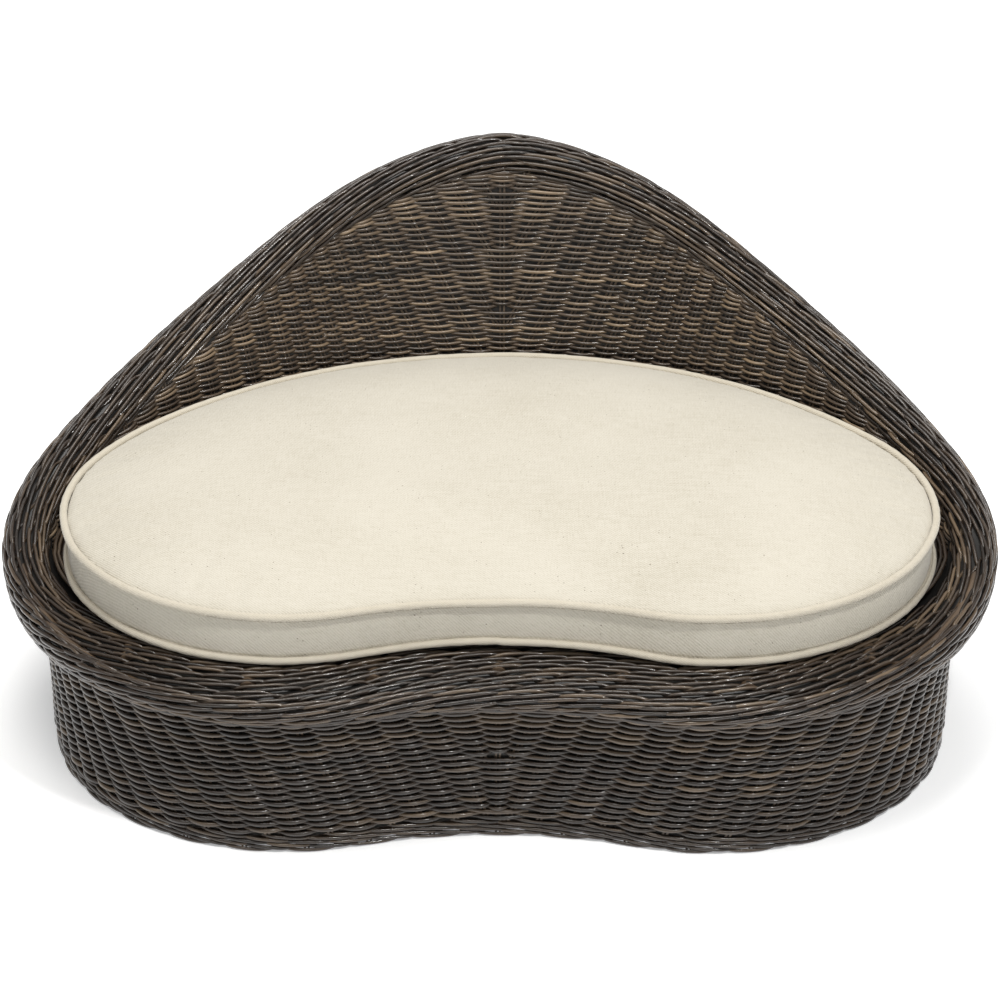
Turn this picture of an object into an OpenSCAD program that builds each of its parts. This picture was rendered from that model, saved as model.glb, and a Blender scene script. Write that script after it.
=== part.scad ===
// Kidney-shaped wicker pet bed: a woven basket with a high peaked back and a
// rolled rim, a raised woven deck on a rattan pole frame, and a loose box
// cushion with piping. Millimetres, +Z up, origin on the floor under the
// middle of the whole basket, front towards -Y.

/* [Outline] */
// Distance from the middle to the centre of each round lobe
lobe_x = 188; // [150:5:240]
// Radius of each lobe at the foot
lobe_r = 227; // [190:5:270]
// Radius of the hollow at the front, between the lobes
notch_r = 420; // [300:20:900]
// How far the back of the foot lies behind the lobe centres
back_y = 330; // [300:5:400]

/* [Wall] */
// Height of the middle of the rolled rim at the front
front_h = 150; // [145:5:190]
// Height of the middle of the rolled rim at the peak of the back
back_h = 397; // [300:5:480]
// Length along the outline over which the back falls away
bell_len = 350; // [280:10:450]
// Thickness of the woven wall
wall_t = 8; // [7.5:0.5:12]
// Outward lean of the upper wall, as a slope
lean = 0.27; // [0.1:0.01:0.4]
// Height at which the wall starts to lean
lean_z = 141; // [120:1:180]
// Number of stake pairs around the wall
stake_count = 80; // [60:2:84]
// Width of one pair of stakes
stake_w = 6; // [4:0.5:7]

/* [Rim and foot] */
// Radius of the rolled rim
rim_r = 24; // [18:1:30]
// Radius of the pole inside the rim
rim_pole_r = 9; // [6:1:12]
// How far the rim's skirt hangs below the middle of the rim at the front
skirt_front = 46; // [36:1:60]
// How far it hangs at the sides and the back
skirt_side = 96; // [60:1:100]
// Thickness of the skirt
skirt_t = 6; // [4:0.5:8]
// Height of the plaited foot border
foot_h = 16; // [12:1:24]

/* [Frame] */
// Radius of the base and deck hoops
hoop_r = 7; // [5:1:9]
// Radius of the posts between the two hoops
post_r = 8; // [6:1:10]
// Number of posts
post_count = 8; // [6:2:12]
// Radius of the bearers under the deck
bearer_r = 7; // [5:1:9]
// Number of bearers
bearer_count = 7; // [5:2:9]
// Distance from one bearer to the next
bearer_pitch = 108; // [80:4:120]
// Height of the top of the deck
deck_z = 176; // [160:1:200]
// Thickness of the woven deck
deck_t = 5; // [3:0.5:8]

/* [Cushion] */
// Height of the cushion's side, piping included
cushion_h = 50; // [40:1:70]
// How much smaller than the foot outline the cushion is
cushion_gap = 10; // [6:1:30]
// How far back the cushion is pushed
cushion_back = 10; // [0:1:12]
// How far the top is crowned above its piping
crown = 20; // [8:1:40]
// Radius of the piping
piping_r = 3; // [2:0.5:4]
// Thickness of the cover cloth
cloth_t = 1.4; // [1:0.2:2.4]
// Half of the zip's length, in degrees round the back arc
zip_half = 44; // [20:1:50]
// Width of the zip tape
zip_w = 14; // [10:1:20]
// Length, width and thickness of the zip slider
slider_size = [13, 9, 3.4];

/* [Hidden] */

// Colours
reed_dark = [0.20, 0.16, 0.14];
reed_mid = [0.30, 0.25, 0.21];
pole_tan = [0.55, 0.42, 0.28];
steel = [0.62, 0.62, 0.64];
cream = [0.90, 0.88, 0.80];
cream_edge = [0.84, 0.80, 0.69];
foam_white = [0.95, 0.93, 0.84];

// Clearances
seat_gap = 0.3;     // between two pieces that lie together
curve_gap = 0.8;    // between a round pole and a wall of flat facets
cloth_gap = 0.1;    // between sewn pieces
eps = 0.5;          // how far a cut runs past a face

// The outline: a back arc, two lobe arcs and a hollow front arc, all tangent
lobe_back = back_y - lobe_r;
back_r = (lobe_back * lobe_back + lobe_x * lobe_x) / (2 * lobe_back) + lobe_r;
back_cy = back_y - back_r;
notch_cy = -sqrt(pow(notch_r + lobe_r, 2) - lobe_x * lobe_x);
back_a = atan2(lobe_x, -back_cy);
notch_a = atan2(lobe_x, -notch_cy);
lobe_a = 180 + notch_a - back_a;
rad = PI / 180;
back_len = back_r * back_a * rad;
lobe_len = lobe_r * lobe_a * rad;
half_len = back_len + lobe_len + notch_r * notch_a * rad;
lean_soft = 30;                          // how softly the wall's lean sets in
// Where the lobe centres lie, so that the origin is under the middle
lobe_y = (lobe_r + flare(front_h) - back_y - flare(back_h)) / 2;

// Rim and wall
layer_t = wall_t * 0.3;                  // thickness of each layer of weave
stake_t = wall_t - 2 * layer_t - 2 * seat_gap;
rim_out = rim_r - wall_t;                // rim centre, out from the wall's outer face
rim_leg = 10;                            // how far the border's legs reach below its middle, degrees
bore_lip = 60;                           // how far the bore for the pole reaches below it, degrees
skirt_reach = 550;                       // distance from the front over which the skirt grows
skirt_rise = 0.62;                       // how soon the skirt swings out, going up
skirt_steps = 5;
wall_drop = rim_r * sin(rim_leg) + seat_gap;
bell_power = 1.6;                        // how sharply the peak falls away
wall_levels = 6;
pole_sides = 8;
cord_sides = 6;
rim_steps = 6;
piping_steps = 5;
round_fn = 48;

// Frame
base_hoop_d = -wall_t - seat_gap - hoop_r;
base_hoop_z = hoop_r + 1;
bearer_z = deck_z - deck_t - bearer_r;
deck_hoop_z = bearer_z - bearer_r - hoop_r;
deck_hoop_d = flare(deck_hoop_z - hoop_r) - wall_t - curve_gap - hoop_r;
post_base_d = base_hoop_d - hoop_r - post_r;
post_top_d = deck_hoop_d - hoop_r - post_r;
post_tilt = atan2(post_top_d - post_base_d, deck_hoop_z - base_hoop_z);
post_top = bearer_z - bearer_r - seat_gap;
screw_r = 1.75;
screw_clear_r = 2;
screw_head_r = 3.6;
screw_head_t = 2.4;
screw_len = hoop_r * 2 + post_r * 1.2;
nail_r = 1;
nail_head_r = 2.4;
nail_head_t = 1;
nail_len = bearer_r * 2 + hoop_r * 1.2;

// Cushion
cushion_z = deck_z + seat_gap;
cushion_d = -cushion_gap;
piping_d = cushion_d - cloth_t / 2;
panel_d = piping_d - piping_r - cloth_gap;
foam_d = cushion_d - cloth_t - cloth_gap;
foam_top = cushion_z + cushion_h - cloth_t - cloth_gap;
crown_steps = [0, 12, 35, 75, 145];
crown_reach = 145;                       // distance over which the crown rises
piping_bore = piping_r - cloth_t * 0.7;
piping_slit = 24;                        // half of the angle left open for the seam
boxing_low = cushion_z + 2 * piping_r + cloth_gap;
boxing_high = cushion_z + cushion_h - 2 * piping_r - cloth_gap;
zip_z = cushion_z + cushion_h / 2;
zip_s = back_r * zip_half * rad;         // half of the zip's length along the outline
boxing_steps = 56;
zip_steps = 16;
boxing_r = back_r + cushion_d;

// Outward offset of the wall's outer face at height z
function flare(z) = lean * lean_soft * ln(1 + exp((z - lean_z) / lean_soft));

// Height of the middle of the rim, s along the outline from the middle of the back
function rim_z(s) = front_h + (back_h - front_h) * exp(-pow(abs(s) / bell_len, bell_power));

// Point and outward normal [x, y, nx, ny] at s along the outline
function half_spot(s) =
    s <= back_len
        ? let (t = s / back_r / rad)
            [back_r * sin(t), lobe_y + back_cy + back_r * cos(t), sin(t), cos(t)]
    : s <= back_len + lobe_len
        ? let (t = back_a + (s - back_len) / lobe_r / rad)
            [lobe_x + lobe_r * sin(t), lobe_y + lobe_r * cos(t), sin(t), cos(t)]
    : let (t = (half_len - s) / notch_r / rad)
        [notch_r * sin(t), lobe_y + notch_cy + notch_r * cos(t), -sin(t), -cos(t)];

function spot(s) =
    let (p = half_spot(abs(s)), side = s < 0 ? -1 : 1)
    [side * p[0], p[1], side * p[2], p[3]];

// Place along the outline of station i of n
function station(i, n) = -half_len + 2 * half_len * i / n;

// The point that lies d outside the outline at s, at height z
function place(s, d, z) = let (p = spot(s)) [p[0] + p[2] * d, p[1] + p[3] * d, z];

// The outline, offset by d, as n points
function ring(d, n) = [for (i = [0:n - 1]) let (q = place(station(i, n), d, 0)) [q[0], q[1]]];

function ring_at(d, z, n) = [for (i = [0:n - 1]) place(station(i, n), d, z)];

// y of the outline, offset by d, at a given x, at the back and at the front
function back_edge(x, d) = lobe_y + (
    abs(x) <= (back_r + d) * sin(back_a)
        ? back_cy + sqrt(pow(back_r + d, 2) - x * x)
        : sqrt(pow(lobe_r + d, 2) - pow(abs(x) - lobe_x, 2)));

function front_edge(x, d) = lobe_y + (
    abs(x) <= (notch_r - d) * sin(notch_a)
        ? notch_cy + sqrt(pow(notch_r - d, 2) - x * x)
        : -sqrt(pow(lobe_r + d, 2) - pow(abs(x) - lobe_x, 2)));

// Inner face of the basket at height z: the rim where there is one, or the wall
function inner_d(s, z) =
    let (up = z - rim_z(s))
    up > -wall_drop
        ? flare(rim_z(s)) + rim_out - sqrt(max(rim_r * rim_r - up * up, 0))
        : flare(z) - wall_t;

// A closed loop through equal sections, one at each station
module loop_sweep(sections) {
    n = len(sections);
    m = len(sections[0]);
    faces = [for (i = [0:n - 1], j = [0:m - 1])
        let (a = i * m + j, b = i * m + (j + 1) % m, c = ((i + 1) % n) * m)
        each [[a, c + j, c + (j + 1) % m], [a, c + (j + 1) % m, b]]];
    polyhedron([for (section = sections) each section], faces);
}

// The same, but open, with a flat end at the first and last section
module open_sweep(sections) {
    n = len(sections);
    m = len(sections[0]);
    sides = [for (i = [0:n - 2], j = [0:m - 1])
        let (a = i * m + j, b = i * m + (j + 1) % m, c = (i + 1) * m)
        each [[a, c + j, c + (j + 1) % m], [a, c + (j + 1) % m, b]]];
    start = [for (j = [0:m - 1]) j];
    end = [for (j = [m - 1:-1:0]) (n - 1) * m + j];
    polyhedron([for (section = sections) each section], concat(sides, [start, end]));
}

// A solid through a stack of rings, closed at both ends
module ring_stack(rings) {
    n = len(rings[0]);
    last = len(rings) - 1;
    sides = [for (i = [0:last - 1], j = [0:n - 1])
        let (a = i * n + j, b = i * n + (j + 1) % n)
        each [[a, a + n, b + n], [a, b + n, b]]];
    bottom = [for (j = [0:n - 1]) j];
    top = [for (j = [n - 1:-1:0]) last * n + j];
    polyhedron([for (one = rings) each one], concat(sides, [bottom, top]));
}

// A round bar bent along the outline
module bent_bar(d, z, r, sides) {
    loop_sweep([for (i = [0:stake_count - 1])
        [for (j = [0:sides - 1])
            place(station(i, stake_count), d + r * cos(j * 360 / sides), z - r * sin(j * 360 / sides))]]);
}

// A flat plate of the outline, offset by d
module plate(d, z, t, n = 2 * stake_count) {
    translate([0, 0, z])
        linear_extrude(t)
            polygon(ring(d, n));
}

// Heights of the wall's levels at s, for a piece that reaches spread to either side
function wall_level(s, k, spread = 0) =
    let (low = foot_h + seat_gap, high = rim_z(abs(s) + spread) - wall_drop)
    low + (high - low) * k / (wall_levels - 1);

function ease(t) = t * t * (3 - 2 * t);

// How far the skirt hangs below the middle of the rim at s
function skirt_drop(s) =
    let (grown = ease(min((half_len - abs(s)) / skirt_reach, 1)))
    skirt_front + (skirt_side - skirt_front) * grown * grown;

// The skirt's outer face at s, moved inwards by depth: t is 0 at its hem and 1 at the middle of the rim
function skirt_point(s, t, depth) =
    let (top = rim_z(s), z = top - skirt_drop(s) * (1 - t), low = flare(z) + seat_gap + skirt_t,
        high = flare(top) + rim_out + rim_r)
    place(s, low + (high - low) * ease(pow(t, skirt_rise)) - depth, z);

// One section of a wall layer, from depth a to depth b inside the outer face
function layer_section(s, a, b) = concat(
    [for (k = [0:wall_levels - 1]) let (z = wall_level(s, k)) place(s, flare(z) - a, z)],
    [for (k = [wall_levels - 1:-1:0]) let (z = wall_level(s, k)) place(s, flare(z) - b, z)]);

module wall_layer(a, b) {
    loop_sweep([for (i = [0:stake_count - 1]) layer_section(station(i, stake_count), a, b)]);
}

// Point round the rim's middle at s, r away from it
function rim_point(s, r, angle) =
    let (z = rim_z(s))
    place(s, flare(z) + rim_out + r * cos(angle), z + r * sin(angle));

// Posts stand at stations, where the hoops' corners lie
function post_place(i) = station(round((i + 0.5) * stake_count / post_count), stake_count);

// Puts children at s along the outline, +X pointing outwards
module at_outline(s, d, z) {
    p = spot(s);
    translate([p[0] + p[2] * d, p[1] + p[3] * d, z])
        rotate([0, 0, atan2(p[3], p[2])])
            children();
}

// --- Basket ---------------------------------------------------------------

module foot_border() {
    color(reed_dark)
        linear_extrude(foot_h)
            difference() {
                polygon(ring(0, 2 * stake_count));
                polygon(ring(-wall_t, 2 * stake_count));
            }
}

// Clearance holes and head recesses for the screws that hold the posts
module screw_holes(d, z, r) {
    for (i = [0:post_count - 1])
        at_outline(post_place(i), d, z)
            rotate([0, 90, 0]) {
                translate([0, 0, -screw_len])
                    cylinder(h = screw_len + hoop_r, r = r, $fn = round_fn);
                translate([0, 0, hoop_r - screw_head_t])
                    cylinder(h = screw_head_t + eps, r = screw_head_r, $fn = round_fn);
            }
}

module nail_holes() {
    for (i = [0:bearer_count - 1])
        let (x = bearer_x(i))
        for (y = [back_edge(x, deck_hoop_d), front_edge(x, deck_hoop_d)])
            translate([x, y, bearer_z + bearer_r - nail_len])
                cylinder(h = nail_len + eps, r = nail_r, $fn = round_fn);
}

module base_hoop() {
    color(pole_tan)
        difference() {
            bent_bar(base_hoop_d, base_hoop_z, hoop_r, pole_sides);
            screw_holes(base_hoop_d, base_hoop_z, screw_clear_r);
        }
}

module deck_hoop() {
    color(pole_tan)
        difference() {
            bent_bar(deck_hoop_d, deck_hoop_z, hoop_r, pole_sides);
            screw_holes(deck_hoop_d, deck_hoop_z, screw_clear_r);
            nail_holes();
        }
}

module posts() {
    color(pole_tan)
        difference() {
            intersection() {
                for (i = [0:post_count - 1])
                    at_outline(post_place(i), post_base_d - seat_gap, base_hoop_z)
                        rotate([0, post_tilt, 0])
                            translate([0, 0, -2 * base_hoop_z])
                                cylinder(h = post_top + 2 * base_hoop_z, r = post_r, $fn = round_fn);
                plate(0, 0, post_top);
            }
            screw_holes(base_hoop_d, base_hoop_z, screw_r);
            screw_holes(deck_hoop_d, deck_hoop_z, screw_r);
        }
}

function bearer_x(i) = (i - (bearer_count - 1) / 2) * bearer_pitch;

module bearers() {
    color(pole_tan)
        difference() {
            for (i = [0:bearer_count - 1])
                let (x = bearer_x(i), front = front_edge(x, deck_hoop_d) - hoop_r * 0.6,
                    back = back_edge(x, deck_hoop_d) + hoop_r * 0.6)
                translate([x, front, bearer_z])
                    rotate([-90, 0, 0])
                        cylinder(h = back - front, r = bearer_r, $fn = round_fn);
            nail_holes();
            bearer_nail_seats();
        }
}

// The recess for each nail's head
module bearer_nail_seats() {
    for (i = [0:bearer_count - 1])
        let (x = bearer_x(i))
        for (y = [back_edge(x, deck_hoop_d), front_edge(x, deck_hoop_d)])
            translate([x, y, bearer_z + bearer_r - nail_head_t - seat_gap])
                cylinder(h = nail_head_t + seat_gap + eps, r = nail_head_r, $fn = round_fn);
}

module bearer_nails() {
    color(steel)
        for (i = [0:bearer_count - 1])
            let (x = bearer_x(i))
            for (y = [back_edge(x, deck_hoop_d), front_edge(x, deck_hoop_d)])
                translate([x, y, 0]) {
                    translate([0, 0, bearer_z + bearer_r - nail_len])
                        cylinder(h = nail_len - seat_gap, r = nail_r, $fn = round_fn);
                    translate([0, 0, bearer_z + bearer_r - nail_head_t - seat_gap])
                        cylinder(h = nail_head_t, r = nail_head_r, $fn = round_fn);
                }
}

module frame_screws() {
    color(steel)
        for (i = [0:post_count - 1])
            for (seat = [[base_hoop_d, base_hoop_z], [deck_hoop_d, deck_hoop_z]])
                at_outline(post_place(i), seat[0], seat[1])
                    rotate([0, 90, 0]) {
                        translate([0, 0, -screw_len])
                            cylinder(h = screw_len + hoop_r - screw_head_t + eps, r = screw_r, $fn = round_fn);
                        translate([0, 0, hoop_r - screw_head_t])
                            cylinder(h = screw_head_t - seat_gap, r = screw_head_r, $fn = round_fn);
                    }
}

// The deck fills the basket up to the wall, and up to the rim where that is lower
module deck_weave() {
    n = 2 * stake_count;
    function edge(s) = min(inner_d(s, deck_z - deck_t), inner_d(s, deck_z)) - curve_gap;
    color(reed_mid)
        translate([0, 0, deck_z - deck_t])
            linear_extrude(deck_t)
                polygon([for (i = [0:n - 1])
                    let (s = station(i, n), q = place(s, edge(s), 0))
                    [q[0], q[1]]]);
}

module stakes() {
    color(reed_mid)
        for (i = [0:stake_count - 1])
            stake(station(i, stake_count));
}

// One pair of stakes, flat between the two layers of weave
module stake(s) {
    p = spot(s);
    near = layer_t + seat_gap;
    far = near + stake_t;
    rings = [for (k = [0:wall_levels - 1])
        let (z = wall_level(s, k, stake_w / 2))
        [for (c = [[-near, -1], [-near, 1], [-far, 1], [-far, -1]])
            let (q = place(s, flare(z) + c[0], z))
            [q[0] - p[3] * c[1] * stake_w / 2, q[1] + p[2] * c[1] * stake_w / 2, z]]];
    ring_stack(rings);
}

module wall_weave_outer() {
    color(reed_dark)
        wall_layer(0, layer_t);
}

module wall_weave_inner() {
    color(reed_mid)
        wall_layer(wall_t - layer_t, wall_t);
}

module rim_pole() {
    color(pole_tan)
        loop_sweep([for (i = [0:stake_count - 1])
            let (s = station(i, stake_count))
            [for (j = [0:pole_sides - 1]) rim_point(s, rim_pole_r, -j * 360 / pole_sides)]]);
}

// The roll round the pole, with the skirt that comes down outside the wall
module rim_border() {
    turn = 180 + rim_leg + bore_lip;
    bore = (rim_pole_r + seat_gap) / cos(turn / rim_steps / 2);
    roll_angles = [180 + rim_leg, each [for (angle = [150:-30:0]) angle]];
    bore_angles = [for (j = [rim_steps:-1:0]) 180 + rim_leg - turn * j / rim_steps];
    heights = [for (k = [skirt_steps - 1:-1:0]) k / skirt_steps];
    color(reed_dark)
        loop_sweep([for (i = [0:stake_count - 1])
            let (s = station(i, stake_count))
            concat(
                [for (angle = roll_angles) rim_point(s, rim_r, angle)],
                [for (t = heights) skirt_point(s, t, 0)],
                [for (k = [0:skirt_steps - 1]) skirt_point(s, k / skirt_steps, skirt_t)],
                [for (angle = bore_angles) rim_point(s, bore, angle)])]);
}

// --- Cushion --------------------------------------------------------------

module on_cushion() {
    translate([0, cushion_back, 0])
        children();
}

// How far the top rises, a inwards from the edge of the panel
function rise(a) = crown * (1 - pow(1 - min(a / crown_reach, 1), 2.4));

module foam_core() {
    low = cushion_z + cloth_t + cloth_gap;
    side = panel_d - cloth_gap;
    color(foam_white)
        on_cushion()
            ring_stack(concat(
                [ring_at(side, low, stake_count)],
                [ring_at(side, cushion_z + cushion_h - 2 * piping_r, stake_count)],
                [for (a = crown_steps) ring_at(side - a, foam_top + rise(a), stake_count)]));
}

module bottom_panel() {
    color(cream)
        on_cushion()
            plate(panel_d, cushion_z, cloth_t, stake_count);
}

module top_panel() {
    low = foam_top + cloth_gap;
    steps = len(crown_steps) - 1;
    color(cream)
        on_cushion()
            ring_stack(concat(
                [for (k = [steps:-1:0])
                    ring_at(panel_d - crown_steps[k], low + rise(crown_steps[k]), stake_count)],
                [for (a = crown_steps) ring_at(panel_d - a, low + cloth_t + rise(a), stake_count)]));
}

// A strip of cloth from s = from to s = to, between two heights
module cloth_strip(from, to, steps, low, high) {
    profile = [[0, high], [0, low], [-cloth_t, low], [-cloth_t, high]];
    on_cushion()
        open_sweep([for (i = [0:steps])
            let (s = from + (to - from) * i / steps, t = s > half_len ? s - 2 * half_len : s)
            [for (q = profile) place(t, cushion_d + q[0], q[1])]]);
}

module boxing_band() {
    color(cream)
        cloth_strip(zip_s, 2 * half_len - zip_s, boxing_steps, boxing_low, boxing_high);
}

// The two strips of cloth above and below the zip
module zip_placket() {
    color(cream) {
        cloth_strip(cloth_gap - zip_s, zip_s - cloth_gap, zip_steps, boxing_low, zip_z - zip_w / 2 - cloth_gap);
        cloth_strip(cloth_gap - zip_s, zip_s - cloth_gap, zip_steps, zip_z + zip_w / 2 + cloth_gap, boxing_high);
    }
}

// A cloth tube round a cord, open towards the seam at the angle given
module piping(z, seam) {
    turn = 360 - 2 * piping_slit;
    function lip(s, r, j) =
        let (angle = seam - piping_slit - turn * j / piping_steps)
        place(s, piping_d + r * cos(angle), z + r * sin(angle));
    on_cushion()
        loop_sweep([for (i = [0:stake_count - 1])
            let (s = station(i, stake_count))
            concat(
                [for (j = [0:piping_steps]) lip(s, piping_r, j)],
                [for (j = [piping_steps:-1:0]) lip(s, piping_bore, j)])]);
}

module bottom_piping() {
    color(cream_edge)
        piping(cushion_z + piping_r, 135);
}

module top_piping() {
    color(cream_edge)
        piping(cushion_z + cushion_h - piping_r, 225);
}

module piping_cords() {
    r = piping_bore * cos(180 / piping_steps) - cloth_gap;
    color(foam_white)
        on_cushion()
            for (z = [cushion_z + piping_r, cushion_z + cushion_h - piping_r])
                bent_bar(piping_d, z, r, cord_sides);
}

module zip_tape() {
    color(cream_edge)
        cloth_strip(cloth_gap - zip_s, zip_s - cloth_gap, zip_steps, zip_z - zip_w / 2, zip_z + zip_w / 2);
}

// The slider, closed, at the left end of the zip
module zip_slider() {
    margin = slider_size[0] / 2 / boxing_r / rad;
    color(steel)
        on_cushion()
            translate([0, lobe_y + back_cy, zip_z])
                rotate([0, 0, 90 + zip_half - margin])
                    translate([boxing_r + seat_gap, -slider_size[0] / 2, -slider_size[1] / 2])
                        cube([slider_size[2], slider_size[0], slider_size[1]]);
}

foot_border();
base_hoop();
posts();
deck_hoop();
bearers();
deck_weave();
frame_screws();
bearer_nails();
stakes();
wall_weave_outer();
wall_weave_inner();
rim_pole();
rim_border();
foam_core();
bottom_panel();
top_panel();
boxing_band();
zip_placket();
bottom_piping();
top_piping();
piping_cords();
zip_tape();
zip_slider();
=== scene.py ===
"""A kidney-shaped wicker pet bed with a piped box cushion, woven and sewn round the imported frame.

Shapes are worked out in millimetres and written to meshes in metres. s is the distance along the foot
outline from the middle of the back, d the distance outside that outline, z the height."""
import math

import bpy
import bmesh
import numpy as np
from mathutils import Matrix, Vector


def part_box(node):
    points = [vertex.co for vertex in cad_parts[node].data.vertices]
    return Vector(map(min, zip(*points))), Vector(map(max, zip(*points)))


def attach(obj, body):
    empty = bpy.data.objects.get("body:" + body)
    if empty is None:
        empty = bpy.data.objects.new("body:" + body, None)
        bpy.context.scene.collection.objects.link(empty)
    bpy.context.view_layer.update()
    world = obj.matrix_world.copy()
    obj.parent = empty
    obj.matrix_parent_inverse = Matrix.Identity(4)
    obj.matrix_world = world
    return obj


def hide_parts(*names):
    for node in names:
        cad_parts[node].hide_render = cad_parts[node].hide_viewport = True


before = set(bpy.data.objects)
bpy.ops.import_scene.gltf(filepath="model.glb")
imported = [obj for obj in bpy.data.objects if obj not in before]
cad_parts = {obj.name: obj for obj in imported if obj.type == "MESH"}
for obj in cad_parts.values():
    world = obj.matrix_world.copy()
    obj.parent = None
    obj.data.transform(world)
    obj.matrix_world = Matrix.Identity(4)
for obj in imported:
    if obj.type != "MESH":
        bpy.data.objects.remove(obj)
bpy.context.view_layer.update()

MM = 0.001
TAU = 2 * math.pi
UP = np.array([0.0, 0.0, 1.0])
RNG = np.random.default_rng(11)

# --- Sizes, as in the construction model ---
LOBE_X, LOBE_R, NOTCH_R, BACK_Y = 188.0, 227.0, 420.0, 330.0
FRONT_H, BACK_H, BELL_LEN, BELL_POWER = 150.0, 397.0, 350.0, 1.6
WALL_T, LEAN, LEAN_Z, LEAN_SOFT = 8.0, 0.27, 141.0, 30.0
RIM_R, FOOT_H = 24.0, 16.0
RIM_OUT = RIM_R - WALL_T
DECK_Z, DECK_T = 176.0, 5.0
CUSHION_H, CUSHION_GAP, CUSHION_BACK, CROWN, PIPING_R = 50.0, 10.0, 10.0, 20.0, 3.0
CUSHION_Z = DECK_Z + 0.3
ZIP_HALF, ZIP_W = 44.0, 14.0


def columns(*values):
    """Arrays and numbers as the columns of one array."""
    return np.stack(np.broadcast_arrays(*values), -1)


def flare(z):
    """Outward offset of the wall's outer face at height z."""
    return LEAN * LEAN_SOFT * np.log1p(np.exp((np.asarray(z, float) - LEAN_Z) / LEAN_SOFT))


LOBE_BACK = BACK_Y - LOBE_R
BACK_R = (LOBE_BACK**2 + LOBE_X**2) / (2 * LOBE_BACK) + LOBE_R
BACK_CY = BACK_Y - BACK_R
NOTCH_CY = -math.sqrt((NOTCH_R + LOBE_R) ** 2 - LOBE_X**2)
BACK_A = math.atan2(LOBE_X, -BACK_CY)
NOTCH_A = math.atan2(LOBE_X, -NOTCH_CY)
BACK_LEN = BACK_R * BACK_A
LOBE_LEN = LOBE_R * (math.pi + NOTCH_A - BACK_A)
HALF = BACK_LEN + LOBE_LEN + NOTCH_R * NOTCH_A
LOBE_Y = (LOBE_R + float(flare(FRONT_H)) - BACK_Y - float(flare(BACK_H))) / 2


def outline(s):
    """Points and outward normals of the foot outline: x, y, nx, ny."""
    s = (np.asarray(s, float) + HALF) % (2 * HALF) - HALF
    a = np.abs(s)
    side = np.where(s < 0, -1.0, 1.0)
    on_back, on_lobe = a <= BACK_LEN, a <= BACK_LEN + LOBE_LEN
    lobe, notch = BACK_A + (a - BACK_LEN) / LOBE_R, (HALF - a) / NOTCH_R
    angle = np.where(on_back, a / BACK_R, np.where(on_lobe, lobe, notch))
    radius = np.where(on_back, BACK_R, np.where(on_lobe, LOBE_R, NOTCH_R))
    x = radius * np.sin(angle) + np.where(~on_back & on_lobe, LOBE_X, 0.0)
    y = radius * np.cos(angle) + LOBE_Y + np.where(on_back, BACK_CY, np.where(on_lobe, 0.0, NOTCH_CY))
    turn = np.where(on_lobe, 1.0, -1.0)
    return side * x, y, side * turn * np.sin(angle), turn * np.cos(angle)


def from_back(s):
    """Distance along the outline from the middle of the back, to either side."""
    return np.abs((np.asarray(s, float) + HALF) % (2 * HALF) - HALF)


def round_places(count):
    """Evenly spaced places all the way round the outline, from the middle of the front."""
    return -HALF + 2 * HALF * np.arange(count) / count


def place(s, d, z, shift=0.0):
    """Points at s, d, z, as an array of rows, moved back by shift."""
    x, y, nx, ny = outline(s)
    return columns(x + nx * d, y + ny * d + shift, z)


def outward(s):
    """The outline's outward directions at s, as rows."""
    _, _, nx, ny = outline(s)
    return columns(nx, ny, 0.0)


def rim_z(s):
    """Height of the middle of the rim: a bell over the low front."""
    return FRONT_H + (BACK_H - FRONT_H) * np.exp(-((from_back(s) / BELL_LEN) ** BELL_POWER))


def ease(t):
    """A smooth step from 0 to 1."""
    t = np.clip(t, 0.0, 1.0)
    return t * t * (3 - 2 * t)


def noise_line(pitch, size):
    """A random function of s that changes about every pitch and joins up at the outline's ends."""
    count = max(int(2 * HALF / pitch), 2) + 3
    knots = RNG.normal(0, size, count)
    knots[-1] = knots[0]
    at = np.linspace(0, 2 * HALF, count)
    return lambda s: np.interp(s + HALF, at, knots)


def put(name, data):
    """A new object in the scene."""
    made = bpy.data.objects.new(name, data)
    bpy.context.scene.collection.objects.link(made)
    return made


# --- Strands ---
GRAIN_ROUND = 1.5  # spread of the grain round a strand, for each radian
GRAIN_STEP = 7.3  # step of the grain from one strand to the next


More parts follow.
